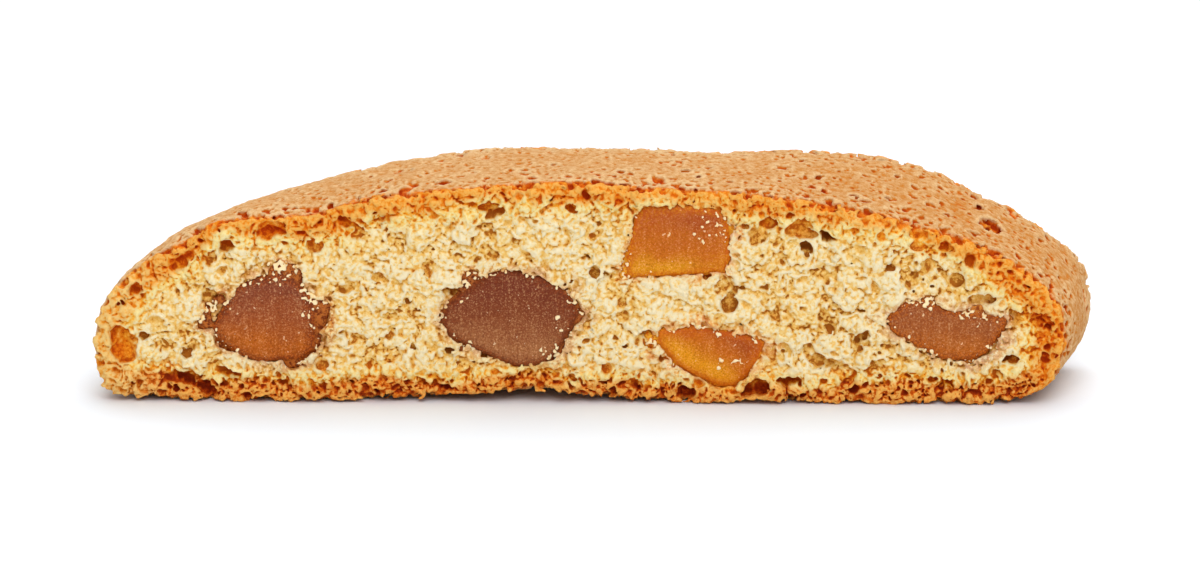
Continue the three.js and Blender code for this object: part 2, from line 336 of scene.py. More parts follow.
def stamp(height, warpX, warpZ, settings, random, where, bowl=False):
    # lumps or bowls at random spots, where "where" allows
    area = (axes[0][-1] - axes[0][0]) * (axes[2][-1] - axes[2][0])
    count = int(settings["perSquare"] * area)
    size = pickSize(random, settings["radius"], count)
    flat = random.uniform(0.55, 1.0, count)
    turn = random.normal(0, 0.7, count)
    i = random.integers(0, height.shape[0], count)
    k = random.integers(0, height.shape[1], count)
    chance = random.random(count)
    before = height.copy()
    for n in np.flatnonzero(where[i, k] > chance):
        rise = settings["rise"] * size[n]
        level = before[i[n], k[n]] - settings.get("sunk", 0) * rise
        steep = settings.get("steep", not bowl)
        pressOne(height, level, warpX, warpZ, (i[n], k[n]), size[n], flat[n], turn[n], rise, bowl, steep)


# Hollows of the front face that stand out: x, z, half width, half height, turn, depth.
marks = [
    (-44.0, 5.4, 1.1, 1.9, 0.1, 0.7),      # a bubble in the left end's crust
    (-30.2, 16.4, 1.5, 0.65, 0.1, 0.9),    # three more along the crust above
    (-34.4, 15.2, 0.9, 0.55, 0.3, 0.9),
    (-38.3, 13.6, 1.2, 0.6, 0.6, 0.8),
    (-42.8, 10.8, 0.7, 0.5, 0.9, 0.6),
    (29.8, 16.0, 1.0, 0.55, -0.5, 0.8),    # and along the crust on the right
    (32.4, 15.0, 0.7, 0.45, -0.5, 0.8),
    (34.6, 13.9, 0.7, 0.5, -0.6, 0.7),
    (18.7, 16.7, 1.2, 0.85, 0.1, 0.6),     # golden bubbles under the crust
    (15.2, 16.2, 0.9, 0.8, 0.0, 0.5),
    (33.3, 11.8, 0.9, 0.8, 0.0, 0.5),
    (35.5, 10.0, 1.0, 0.7, 0.0, 0.5),
    (21.4, 16.1, 0.8, 0.32, -0.3, 1.3),    # dark clefts
    (19.4, 14.9, 0.6, 0.30, -0.4, 1.2),
    (-9.2, 18.2, 0.9, 0.30, 0.5, 1.2),
    (-38.0, 2.3, 1.3, 0.55, -0.5, 1.3),
    (-36.4, 1.1, 1.2, 0.45, -0.6, 1.3),
    (-34.2, 3.0, 1.3, 0.35, -0.25, 0.9),
    (-14.0, 1.6, 0.9, 0.40, 0.0, 0.9),
    (8.6, 1.2, 1.0, 0.50, 0.3, 1.2),
    (14.4, 1.4, 0.5, 0.90, -0.3, 1.2),
    (18.0, 2.3, 1.0, 0.50, 0.1, 1.2),
    (21.8, 4.0, 0.9, 0.55, 0.2, 0.7),
    (38.3, 4.5, 0.5, 0.40, 0.6, 1.2),
]


def crumbRelief(side):
    shape = crumbShape
    random = np.random.default_rng(40 + side)
    seed = 60 + 20 * side
    face = faceIndex(side)
    depth = crustDepth[:, face, :]
    x = axes[0][:, None] + np.zeros(len(axes[2]), np.float32)
    z = axes[2] + np.zeros(len(axes[0]), np.float32)[:, None]
    c, s = shape["shear"]
    u, v = x * c + z * s, z * c - x * s
    warpX, warpZ = x, z
    for part in (shape["warp"], shape["fray"]):
        warpX = warpX + part["reach"] * flatNoise(u, v, part["size"], seed)
        warpZ = warpZ + part["reach"] * flatNoise(v, u, part["size"], seed + 1)
    height = shape["swells"]["height"] * flatNoise(u, v, shape["swells"]["size"], seed + 2)
    patch = flatNoise(u, v, shape["patches"]["size"], seed + 3) + 0.5 * flatNoise(v, u, 0.9, seed + 4)
    height += shape["patches"]["height"] * np.tanh(shape["patches"]["cliff"] * patch)
    rim = np.clip(depth / shape["rimWidth"], 0, 1)
    crumbly = np.clip(0.6 + flatNoise(u, v, 2.6, seed + 5), 0.1, 1)
    for part, turned in ((shape["clods"], (warpX, warpZ)), (shape["creases"], (warpZ + u, warpX - v))):
        height += part["height"] * (np.abs(flatNoise(*turned, part["size"], seed + 7)) - 0.25)
    well = np.where(depth > shape["rimWidth"], 1.0, 0.0)

    def press(kind, where, bowl=False):
        stamp(height, warpX, warpZ, shape[kind], random, where, bowl)

    press("clumps", rim)
    press("hollows", well, bowl=True)
    press("grains", np.clip(depth / 0.3, 0, 1))
    near = np.clip(1.5 - depth / shape["crustGrains"]["within"], 0, 1) * np.clip(depth / 0.1, 0, 1)
    press("crustGrains", near)
    low = np.clip(1.5 - z / shape["baseClods"]["within"], 0, 1) * np.clip(depth / 0.5, 0, 1)
    crease = np.abs(flatNoise(warpX + 0.6 * v, warpZ - 0.6 * u, shape["baseCreases"]["size"], seed + 10))
    height -= shape["baseCreases"]["height"] * low * np.clip(0.35 - crease, 0, 1) / 0.35
    press("baseClods", low)
    # a broken row of dark holes where the crumb meets the base crust
    row = shape["baseHoleRow"]
    above = z - row["height"] - row["wander"] * flatNoise(u, v, 6.0, seed + 8)
    row = np.exp(-(above / row["spread"]) ** 2)
    broken = np.clip(0.35 + 1.2 * flatNoise(u, v, 5.0, seed + 9) + 0.4 * (-side * x > -12) * (x > 10), 0, 1)
    press("baseHoles", row * broken * (depth > 1.0), bowl=True)
    near = np.clip(1.3 - depth / shape["crustPits"]["within"], 0, 1) * np.where(depth > 0.3, 1.0, 0.0)
    press("crustPits", near, bowl=True)
    press("bubbles", well, bowl=True)
    press("pockets", np.where(depth > 0.4, crumbly, 0.0), bowl=True)
    if side < 0:
        for markX, markZ, halfWidth, halfHeight, turn, deep in marks:
            spot = (cellAt(markX, axes[0]), cellAt(markZ, axes[2]))
            flat = halfHeight / halfWidth
            pressOne(height, 0.0, warpX, warpZ, spot, halfWidth, flat, turn, deep, True, deep > 1)
    # it rises to the fruit, whose cut stands a little proud
    near = np.clip(1 - fruitField[:, face, :] / shape["nearFruit"]["within"], 0, 1)
    height += near * (shape["nearFruit"]["height"] - shape["nearFruit"]["calm"] * height)
    height += shape["dust"]["height"] * flatNoise(u, v, shape["dust"]["size"], seed + 6)
    return np.where(height > 0, height * (0.5 + 0.5 * rim), height)


def combine():
    cavities = crumbShape["cavities"]
    tears = noiseField(crumbShape["tears"]["size"], 14)
    clod = noiseHeight(crumbShape["cavityClods"], 13) + crumbShape["cavityClods"]["tears"] * tears
    relief = [crumbRelief(side) for side in (-1, 1)]
    report("relief of the cut faces")
    cut = -cutDepth - np.where(gridY < 0, relief[0][:, None, :], relief[1][:, None, :])
    shape = skinShape
    base = np.clip(1.5 - gridZ, 0, 1)
    skin = envelope + noiseHeight(shape["swells"], 21)
    skin += noiseHeight(shape["wrinkles"], 22)
    skin += noiseHeight(shape["pimples"], 23)
    skin += shape["baseRoughness"] * base * (np.abs(clod) - 0.1)
    inner = np.minimum(biscuitField - 0.15 * np.clip(1 - crustDepth, 0, 1), fruitField - 0.5)
    floor = cavities["depth"] + noiseHeight(cavities, 29) - cutDepth
    inner = -smoothMax(-inner, -floor, cavities["round"])
    cut += crumbShape["tears"]["height"] * tears
    solid = np.maximum(smoothMax(cut, skin, crumbShape["rimRadius"]), inner + cavities["ragged"] * clod)
    return solid, clod


solid, clod = combine()
del biscuitField, envelope    # large, and not needed from here on
report("solid")


# Bubbles that the knife opened, and pits in the skin. perSquare is how many there are on a square millimetre.
pores = {
    "fine": {"perSquare": 0.3, "radius": (0.14, 0.30), "from": 0.0, "to": 1.1},
    "middle": {"perSquare": 0.03, "radius": (0.30, 0.70), "from": -0.5, "to": 0.3},
    "large": {"perSquare": 0.008, "radius": (0.65, 1.20), "from": -0.7, "to": 0.0},
}
poreRoom = {
    "toCrust": (0.25, 1.1),    # a least distance, and a share of the radius on top of it
    "toFruit": 0.5,            # in radii
    "wobble": 0.45,
}
skinPits = {
    "small": {"perSquare": 3.4, "radius": (0.09, 0.22), "sparse": 0.35},
    "wide": {"perSquare": 0.9, "radius": (0.20, 0.50), "sparse": 0.10},
    "nearCut": 1.8,    # pits are denser this near the cut faces
    "stretch": ((0.8, 1.4), (1.0, 1.8), (0.7, 1.1)),    # along the slice, across it and down
    "wobble": 0.7,
}
rimChips = {
    "count": (560, 200),    # at the front and at the back
    "radius": (0.18, 0.60),
    "behind": (-0.3, 0.8),
    "stretch": (0.8, 1.6),
    "wobble": 0.6,
}
blister = {"place": (36.9, -1.0, 15.4), "radii": (1.2, 1.6, 0.9), "turn": -0.45, "wobble": 0.5}


# Takes an egg-shaped hollow out of the solid. The clods make its walls uneven.
def carve(solid, centre, radii, turn, wobble):
    reach = radii.max() + 2 * voxel
    first = [int((centre[a] - reach - axes[a][0]) / voxel) for a in range(3)]
    last = [int((centre[a] + reach - axes[a][0]) / voxel) + 2 for a in range(3)]
    first = [max(f, 0) for f in first]
    window = tuple(slice(f, l) for f, l in zip(first, last))
    dx = gridX[window[0]] - centre[0]
    dy = (gridY[:, window[1]] - centre[1]) / radii[1]
    dz = gridZ[:, :, window[2]] - centre[2]
    along = (dx * math.cos(turn) + dz * math.sin(turn)) / radii[0]
    across = (dz * math.cos(turn) - dx * math.sin(turn)) / radii[2]
    hollow = (1 - np.sqrt(along * along + dy * dy + across * across)) * radii.min()
    hollow += wobble * clod[window]
    region = solid[window]
    np.maximum(region, hollow, out=region)


def scatterPores(solid, kind, side, seed):
    random = np.random.default_rng(seed)
    settings = pores[kind]
    count = int(settings["perSquare"] * (axes[0][-1] - axes[0][0]) * axes[2][-1])
    x = random.uniform(axes[0][0], axes[0][-1], count)
    z = random.uniform(0, axes[2][-1], count)
    size = pickSize(random, settings["radius"], count, 1.6)
    y = side * (cutPlane - random.uniform(settings["from"], settings["to"], count) * size)
    flat = random.uniform(0.55, 1.0, count)
    turn = random.normal(0, 0.5, count)
    cells = tuple(cellAt(values, axis) for values, axis in zip((x, y, z), axes))
    depth = crustDepth[cells]
    gap = fruitField[cells]
    made = 0
    least, share = poreRoom["toCrust"]
    for i in range(count):
        if depth[i] < least + size[i] * share or gap[i] < size[i] * poreRoom["toFruit"]:
            continue
        radii = np.array([size[i], size[i] * (0.7 + 0.3 * flat[i]), size[i] * flat[i]])
        carve(solid, (x[i], y[i], z[i]), radii, turn[i], poreRoom["wobble"] * size[i])
        made += 1
    return made


for side in (-1, 1):
    for kind in ("fine", "middle", "large"):
        made = scatterPores(solid, kind, side, 100 + 10 * side + len(kind))
        report(f"{made} {kind} pores")


def scatterPits(solid, kind, seed):
    random = np.random.default_rng(seed)
    settings = skinPits[kind]
    spots = np.argwhere((np.abs(solid) < 0.5 * voxel) & (crustDepth < 0.35) & (cutDepth > 0.2))
    count = int(settings["perSquare"] * len(spots) * voxel * voxel)
    for spot in spots[random.integers(0, len(spots), count)]:
        place = np.array([axes[a][0] + spot[a] * voxel for a in range(3)])
        behind = cutPlane - abs(place[1])
        if random.random() > settings["sparse"] + math.exp(-behind / skinPits["nearCut"]):
            continue
        size = pickSize(random, settings["radius"])
        radii = size * np.array([random.uniform(*ends) for ends in skinPits["stretch"]])
        carve(solid, place, radii, 0.0, skinPits["wobble"] * size)
    report(f"{count} {kind} pits")


def chipRims(solid, seed):
    # crumbs broken out of the crust's edges at both cut faces
    random = np.random.default_rng(seed)
    edge = np.abs(crustDepth) < 0.5 * voxel
    for side in (-1, 1):
        spots = np.argwhere(edge[:, faceIndex(side), :])
        for i, k in spots[random.integers(0, len(spots), rimChips["count"][side > 0])]:
            size = pickSize(random, rimChips["radius"])
            y = side * (cutPlane - random.uniform(*rimChips["behind"]))
            radii = size * random.uniform(*rimChips["stretch"], 3)
            place = np.array([axes[0][i], y, axes[2][k]])
            carve(solid, place, radii, random.uniform(0, 3), rimChips["wobble"] * size)


chipRims(solid, 35)
scatterPits(solid, "small", 31)
scatterPits(solid, "wide", 32)
carve(solid, blister["place"], np.array(blister["radii"]), blister["turn"], blister["wobble"])
del clod


def widerFruitField(names):
    return coarseField([nodeTriangles(name) for name in names], *workGrid["toFruit"])


slotNames = {part["node"]: part["material_slot"] for part in frame["record"]["subparts"]}
fruitGap = widerFruitField(fruitNames)
brownGap = widerFruitField([name for name in fruitNames if slotNames[name] == "fruit_brown"])
report("fruit gap")


# The crumb hugs the fruit with a ragged edge. In patches it is torn further back and shows the sticky
# hem of the fruit, and grains of crumb cling over both.
fruitEdge = {
    "gap": -0.20,
    "ragged": {"size": 0.55, "height": 0.18},
    "fray": {"size": 0.28, "height": 0.14},
    "hem": {
        "size": 2.1,
        "reach": 1.8,
        "above": 0.05,       # it shows only where its noise is above this
        "atSpots": 1.8,      # how much wider it is at a sticky spot
        "ragged": {"size": 0.6, "height": 0.45},
        "most": 1.6,
        "fromCrust": 1.3,
        "deep": 0.9,         # how far in from the cut faces it goes
    },
    "beads": {
        "perSquare": 20.0,
        "radius": (0.10, 0.26),
        "inward": 0.32,        # how fast they thin out over the fruit
        "farther": 2.5,        # and how much less so at a sticky spot
        "outward": 1.8,
        "clumps": 1.2,
        "above": 0.3,          # more of them above the fruit
        "looseWithin": 0.05,   # nearer than this to the hem's outer edge they are loose
        "looseSize": 0.8,
        "looseRise": (-0.05, 0.12),
        "fixedRise": (0.0, 0.3),
    },
}
# where the front shows most of that hem: x, z, reach
stickySpots = [
    (-36.7, 9.2, 1.6), (-37.1, 7.3, 1.2), (-29.5, 12.7, 1.7), (-27.7, 12.2, 1.3), (-25.4, 8.7, 1.7),
    (-2.1, 8.4, 1.7), (-12.7, 5.6, 1.2), (-4.4, 5.1, 1.3), (-11.8, 11.9, 1.0),
    (10.3, 16.3, 1.5), (2.7, 12.1, 1.4), (12.9, 3.6, 1.5), (4.6, 5.8, 1.1),
    (25.0, 9.1, 1.4), (35.3, 8.7, 1.1), (31.0, 10.0, 0.9),
]
sticky = sum(np.exp(-((gridX - x) ** 2 + (gridZ - z) ** 2) / size ** 2) for x, z, size in stickySpots)
sticky = sticky * (gridY < 0)


def hemField():
    shape = fruitEdge["hem"]
    width = shape["reach"] * (noiseField(shape["size"], 28) - shape["above"])
    width += shape["atSpots"] * sticky
    width += noiseHeight(shape["ragged"], 26)
    width = width.clip(0, shape["most"]) * np.clip(crustDepth - shape["fromCrust"], 0, 1)
    return np.where(cutDepth < shape["deep"], width, 0)


def clearFruit(solid):
    ragged = noiseHeight(fruitEdge["ragged"], 27)
    ragged += noiseHeight(fruitEdge["fray"], 24)
    return np.maximum(solid, -np.minimum(fruitField + fruitEdge["gap"] + ragged, fruitGap - hemWidth))


def addLump(solid, centre, size, random):
    # a grain of crumb: three balls run together
    for _ in range(3):
        middle = centre + random.uniform(-0.6, 0.6, 3) * size
        radius = size * random.uniform(0.55, 0.95)
        first = [max(int((middle[a] - radius - axes[a][0]) / voxel) - 1, 0) for a in range(3)]
        window = tuple(slice(f, f + int(2 * radius / voxel) + 4) for f in first)
        dx = gridX[window[0]] - middle[0]
        dy = gridY[:, window[1]] - middle[1]
        dz = gridZ[:, :, window[2]] - middle[2]
        region = solid[window]
        np.minimum(region, np.sqrt(dx * dx + dy * dy + dz * dz) - radius, out=region)


def addBeads(solid, grains):
    # grains that lie on the fruit and its hem are loose, the rest are one with the crumb
    random = np.random.default_rng(300)
    beads = fruitEdge["beads"]
    x, z = np.meshgrid(axes[0], axes[2], indexing="ij")
    for side in (-1, 1):
        face = faceIndex(side)
        gap = np.where(fruitField < 0.3, fruitField, fruitGap)[:, face, :]
        loose = gap < hemWidth[:, face, :] + beads["looseWithin"]
        spotty = sticky[:, face, :]
        clumped = flatNoise(x + z, z - x, beads["clumps"], 310 + side)
        upward = np.gradient(gap, axis=1) / voxel
        wanted = np.clip(0.35 + 1.1 * clumped + beads["above"] * upward, 0, 1)
        wanted *= np.exp(np.minimum(gap, 0) / (beads["inward"] * (1 + beads["farther"] * spotty)))
        wanted *= gap < hemWidth[:, face, :] + 0.3
        wanted *= np.where(loose, np.clip(0.4 + spotty, 0, 1), 1)
        wanted *= (gap > -0.5) | (spotty > 0.3)    # none in the middle of the fruit elsewhere
        spots = np.argwhere(gap < beads["outward"])
        count = int(beads["perSquare"] * len(spots) * voxel * voxel)
        spots = spots[random.integers(0, len(spots), count)]
        spots = spots[wanted[spots[:, 0], spots[:, 1]] > random.random(count)]
        for i, k in spots:
            size = pickSize(random, beads["radius"])
            if loose[i, k]:
                rise = random.uniform(*beads["looseRise"]) + (fruitProud if gap[i, k] < 0 else 0)
            else:
                rise = random.uniform(*beads["fixedRise"])
            place = np.array([axes[0][i], side * (cutPlane + rise), axes[2][k]])
            target, scale = (grains, beads["looseSize"]) if loose[i, k] else (solid, 1)
            addLump(target, place, size * scale, random)


hemWidth = hemField()
solid = clearFruit(solid)
grains = np.full_like(solid, 1.0)
addBeads(solid, grains)
del sticky
solid = np.maximum(solid, 0.0 - gridZ)
report("edges of the fruit")


def meshFromField(field):
    sparse = vdb.FloatGrid(1.0)
    sparse.transform = vdb.createLinearTransform(voxelSize=voxel)
    sparse.copyFromArray(np.ascontiguousarray(field), ijk=tuple(int(c) for c in firstCell), tolerance=0.0)
    points, triangles, quads = sparse.convertToPolygons(isovalue=0.0, adaptivity=0.02)
    return points.astype(np.float32), triangles[:, ::-1], quads[:, ::-1]


def pieceLabels(count, edges):
    # the number of the loose piece that each point belongs to
    label = np.arange(count)
    while True:
        low = np.minimum(label[edges[:, 0]], label[edges[:, 1]])
        np.minimum.at(label, label[edges[:, 0]], low)
        np.minimum.at(label, label[edges[:, 1]], low)
        label = label[label]
        label = label[label]
        if np.array_equal(label[edges[:, 0]], label[edges[:, 1]]):
            return label


def keepLargest(points, triangles, quads):
    edges = np.concatenate([triangles[:, [0, 1]], triangles[:, [1, 2]], quads[:, [0, 1]], quads[:, [1, 2]],
                            quads[:, [2, 3]]])
    label = pieceLabels(len(points), edges)
    kept = label == np.argmax(np.bincount(label))
    renumber = np.cumsum(kept) - 1
    triangles = renumber[triangles[kept[triangles[:, 0]]]]
    quads = renumber[quads[kept[quads[:, 0]]]]
    return points[kept], triangles, quads


def makeMesh(name, points, triangles, quads):
    mesh = bpy.data.meshes.new(name)
    corners = np.concatenate([triangles.ravel(), quads.ravel()])
    sizes = np.concatenate([np.full(len(triangles), 3), np.full(len(quads), 4)])
    mesh.vertices.add(len(points))
    mesh.vertices.foreach_set("co", (points * mm).astype(np.float32).ravel())
    mesh.loops.add(len(corners))
    mesh.loops.foreach_set("vertex_index", corners.astype(np.int32))
    mesh.polygons.add(len(sizes))
    mesh.polygons.foreach_set("loop_start", (np.cumsum(sizes) - sizes).astype(np.int32))
    mesh.polygons.foreach_set("loop_total", sizes.astype(np.int32))
    mesh.update(calc_edges=True)
    mesh.validate()
    piece = bpy.data.objects.new(name, mesh)
    bpy.context.scene.collection.objects.link(piece)
    return piece


def thin(piece, count, budget):
    # collapse the flattest places until the piece is within its budget of triangles
    if count <= budget:
        return
    modifier = piece.modifiers.new("thin", "DECIMATE")
    modifier.ratio = budget / count
    mesh = bpy.data.meshes.new_from_object(piece.evaluated_get(bpy.context.evaluated_depsgraph_get()))
    piece.modifiers.clear()
    piece.data = mesh


def boxBlur(field, cells):
    # the mean over a cube of 2 * cells + 1 a side
    for axis in range(3):
        total = np.cumsum(field, axis=axis, dtype=np.float32)
        count = field.shape[axis]
        after = np.take(total, np.minimum(np.arange(count) + cells, count - 1), axis=axis)
        before = np.take(total, np.maximum(np.arange(count) - cells - 1, 0), axis=axis)
        field = (after - before) / (2 * cells + 1)
    return field


def sample(field, points):
    # a field's values at points, between its cells
    place = (points - [axis[0] for axis in axes]) / voxel
    cell = np.clip(np.floor(place).astype(int), 0, np.array(field.shape) - 2)
    share = np.clip(place - cell, 0, 1).astype(np.float32)
    total = 0
    for corner in np.ndindex(2, 2, 2):
        weight = np.prod(np.where(corner, share, 1 - share), axis=1)
        total = total + weight * field[tuple((cell + corner).T)]
    return total


# Values that the looks read at each point. How hollow a spot is comes from how much round it is filled; the
# looks paint hollow spots darker, as painted shade.
filled = np.minimum(np.minimum(solid, grains), np.maximum(fruitField, -cutDepth))
filled = np.clip(0.5 - filled / voxel, 0, 1)
hollowCells = {"hollowTiny": 1, "hollowFine": 3, "hollowWide": 9}
hollowness = {name: boxBlur(filled, cells) for name, cells in hollowCells.items()}
del filled
report("hollowness")

baking = {
    "reach": 1.5,
    "atBase": 0.6,
    "baseHeight": 2.5,
    "atEnds": 2.0,
    "endLength": 12.0,
    "wide": (51, 4.5, 0.9),     # seed, size and height of its wander
    "small": (52, 1.1, 0.6),
    "baseBand": (0.8, 1.2),     # how high the base's own colour goes, and over how much it fades
    "amberFade": 0.5,
}


def bakedReach(points):
    # how deep the oven's colour goes, deeper at the slice's base and ends
    toEnd = np.minimum(points[:, 0] - cadLow[0] / mm, cadHigh[0] / mm - points[:, 0])
    ends = np.clip(1 - toEnd / baking["endLength"], 0, 1)
    base = np.clip(1.5 - points[:, 2] / baking["baseHeight"], 0, 1)
    reach = baking["reach"] + baking["atBase"] * base + baking["atEnds"] * ends
    for seed, size, height in (baking["wide"], baking["small"]):
        reach = reach + height * sample(noiseField(size, seed), points)
    return reach


def setValues(mesh, values):
    for name, value in values.items():
        mesh.attributes.new(name, "FLOAT", "POINT").data.foreach_set("value", value.astype(np.float32))


def addFieldValues(piece):
    points = meshPoints(piece.data)
    depth = sample(crustDepth, points)
    bandTop, bandFade = baking["baseBand"]
    gap = sample(fruitGap, points)
    values = {
        "crustDepth": depth,
        "cutDepth": cutPlane - np.abs(points[:, 1]),
        "fromFront": points[:, 1] + cutPlane,
        "baseShare": np.clip(1 - (points[:, 2] - depth - bandTop) / bandFade, 0, 1),
        "fruitGap": gap,
        "amber": np.clip((sample(brownGap, points) - gap) / baking["amberFade"], 0, 1),
        "baked": depth - bakedReach(points),
        "hemWidth": sample(hemWidth, points),
        "along": (points[:, 0] * mm - cadLow[0]) / (cadHigh[0] - cadLow[0]),
    }
    values.update({name: sample(field, points) for name, field in hollowness.items()})
    setValues(piece.data, values)


def finishPiece(name, field, nodeName, scattered=False):
    points, triangles, quads = meshFromField(field)
    if not scattered:
        points, triangles, quads = keepLargest(points, triangles, quads)
    piece = makeMesh(name, points, triangles, quads)
    count = len(triangles) + 2 * len(quads)
    thin(piece, count, budgets.get(name, budgets["fruit"]))
    piece.data.shade_smooth()
    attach(piece, "root")
    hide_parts(nodeName)
    report(f"{name}: {count} triangles, kept {sum(len(p.vertices) - 2 for p in piece.data.polygons)}")
    return piece


# The crumb and the crust are cut apart along a wandering seam inside the slice, and each again in halves.
seam = {"depth": 1.3, "wander": 0.35, "size": 1.3, "overlap": 0.5, "middle": 0.0}
budgets = {
    "crumb_front_left": 190000,
    "crumb_front_right": 190000,
    "crumb_back": 135000,
    "crust_front": 195000,
    "crust_back": 130000,
    "grains": 60000,
    "fruit": 14000,    # each
}
seamDepth = seam["depth"] + seam["wander"] * noiseField(seam["size"], 12)
inside = np.maximum(solid, seamDepth - crustDepth)
shell = np.maximum(solid, crustDepth - seamDepth - seam["overlap"])
halfLap = seam["overlap"] / 2
biscuitParts = {
    "crumb_front_left": (inside, gridY, gridX - seam["middle"]),
    "crumb_front_right": (inside, gridY, seam["middle"] - gridX - seam["overlap"]),
    "crumb_back": (inside, -gridY),
    "crust_front": (shell, gridY - halfLap),
    "crust_back": (shell, -halfLap - gridY),
}
del solid, seamDepth
for name, (field, *cuts) in biscuitParts.items():
    for cut in cuts:
        field = np.maximum(field, cut)
    addFieldValues(finishPiece(name, field, "biscuit"))
addFieldValues(finishPiece("grains", grains, "biscuit", scattered=True))
biscuitNames = list(biscuitParts)
del biscuitParts, inside, shell, field


fruitShape = {
    "outline": {"size": 1.5, "height": 0.16},
    "edge": {"size": 0.6, "height": 0.12},
    "face": {"size": 2.6, "height": 0.10},    # how uneven the cut fruit is
    "rimRadius": 0.3,
    "proud": 0.02,
    "wider": 0.30,             # runs on under the crumb
    "hemSunk": (0.25, 0.3),    # its sticky hem lies lower than its cut: how far, and over what width
    "dome": (0.07, 0.6),       # and its cut is lower towards the rim
    "underHem": 0.1,
}


def fruitBody(name):
    shape = fruitShape
    body = fruitFields[name] - shape["wider"] + noiseHeight(shape["outline"], 41)
    body = np.minimum(body, widerFruitField([name]) - hemWidth - shape["underHem"])
    body += noiseHeight(shape["edge"], 42)
    face = np.abs(gridY) - fruitFace - shape["proud"] + noiseHeight(shape["face"], 43)
    height, width = shape["dome"]
    dome = np.clip(1 + fruitFields[name] / width, 0, 1)
    face = face + height * dome * dome
    height, width = shape["hemSunk"]
    return smoothMax(body, face + height * np.clip(fruitFields[name] / width, 0, 1), shape["rimRadius"])


for name in fruitNames:
    piece = finishPiece("fruit_" + name[-1], fruitBody(name), name)
    points = meshPoints(piece.data)
    low, high = (np.array(corner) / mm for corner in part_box(name))
    across, _, up = ((points - low) / (high - low)).T
    rimDepth = -sample(fruitFields[name], points)
    setValues(piece.data, {"acrossFruit": across, "upFruit": up, "rimDepth": rimDepth})


# Looks. Colours are red, green and blue as they show on screen, 0 to 255. They follow how hollow, how baked
# and how near the fruit a spot is.
# Darker colour in hollows, pores and crevices is painted shade.
def tone(colour):
    def linear(value):
        value /= 255
        return value / 12.92 if value <= 0.04045 else ((value + 0.055) / 1.055) ** 2.4
    return (*(linear(value) for value in colour), 1)


class Nodes:
    # short calls for a material's node tree
    def __init__(self, name, roughness, specular):
        self.material = bpy.data.materials.new(name)
        self.material.use_nodes = True
        self.tree = self.material.node_tree
        self.shader = self.tree.nodes["Principled BSDF"]
        self.set("Roughness", roughness)
        self.set("Specular IOR Level", specular)

    def feed(self, socket, value):
        if isinstance(value, bpy.types.NodeSocket):
            self.tree.links.new(value, socket)
        else:
            socket.default_value = value

    def set(self, name, value):
        self.feed(self.shader.inputs[name], value)

    def node(self, kind, output, inputs, **settings):
        node = self.tree.nodes.new("ShaderNode" + kind)
        for name, value in settings.items():
            setattr(node, name, value)
        for name, value in inputs.items():
            self.feed(node.inputs[name], value)
        return node.outputs[output]

    def place(self):
        return self.node("TexCoord", "Object", {})

    def attribute(self, name):
        return self.node("Attribute", "Fac", {}, attribute_name=name)

    def noise(self, size, detail, roughness, seed, tall=1.0):
        # size is in millimetres; tall draws the noise out upwards
        drawn = {0: self.place(), 1: (1, 1, 1 / tall)}
        inputs = {
            "Vector": self.node("VectorMath", "Vector", drawn, operation="MULTIPLY"),
            "W": seed,
            "Scale": 1 / (size * mm),
            "Detail": detail,
            "Roughness": roughness,
        }
        return self.node("TexNoise", "Fac", inputs, noise_dimensions="4D")

    def grains(self, size):
        # 0 in the middle of each rounded grain, 1 in the creases between them
        wander = {"Vector": self.place(), "Scale": 1 / (size * 1.5 * mm), "Detail": 1}
        shift = {0: self.node("TexNoise", "Color", wander), 1: (size * 1.2 * mm,) * 3, 2: self.place()}
        place = self.node("VectorMath", "Vector", shift, operation="MULTIPLY_ADD")
        return self.node("TexVoronoi", "Distance", {"Vector": place, "Scale": 1 / (size * mm)})

    def math(self, operation, a, b):
        return self.node("Math", 0, {0: a, 1: b}, operation=operation)

    def add(self, first, *others):
        for other in others:
            first = self.math("ADD", first, other)
        return first

    def times(self, a, b):
        return self.math("MULTIPLY", a, b)

    def about(self, value, middle, scale):
        # how far a value is from its middle, scaled
        return self.times(self.math("SUBTRACT", value, middle), scale)

    def span(self, value, low, high, to=(0.0, 1.0)):
        inputs = {"Value": value, "From Min": low, "From Max": high, "To Min": to[0], "To Max": to[1]}
        return self.node("MapRange", "Result", inputs, interpolation_type="SMOOTHSTEP")

    def ramp(self, value, stops):
        colour = self.node("ValToRGB", "Color", {"Fac": value})
        elements = colour.node.color_ramp.elements
        while len(elements) < len(stops):
            elements.new(0.5)
        for element, (place, *stop) in zip(elements, stops):
            element.position = place
            element.color = tone(stop)
        return colour

    def mix(self, share, a, b):
        a, b = (c if isinstance(c, bpy.types.NodeSocket) else tone(c) for c in (a, b))
        return self.node("Mix", 2, {"Factor": share, 6: a, 7: b}, data_type="RGBA")

    def finish(self, colour, height=None, depth=0):
        self.set("Base Color", colour)
        if height is not None:
            bump = {"Strength": 1, "Distance": depth * mm, "Height": height}
            self.set("Normal", self.node("Bump", "Normal", bump))
        return self.material
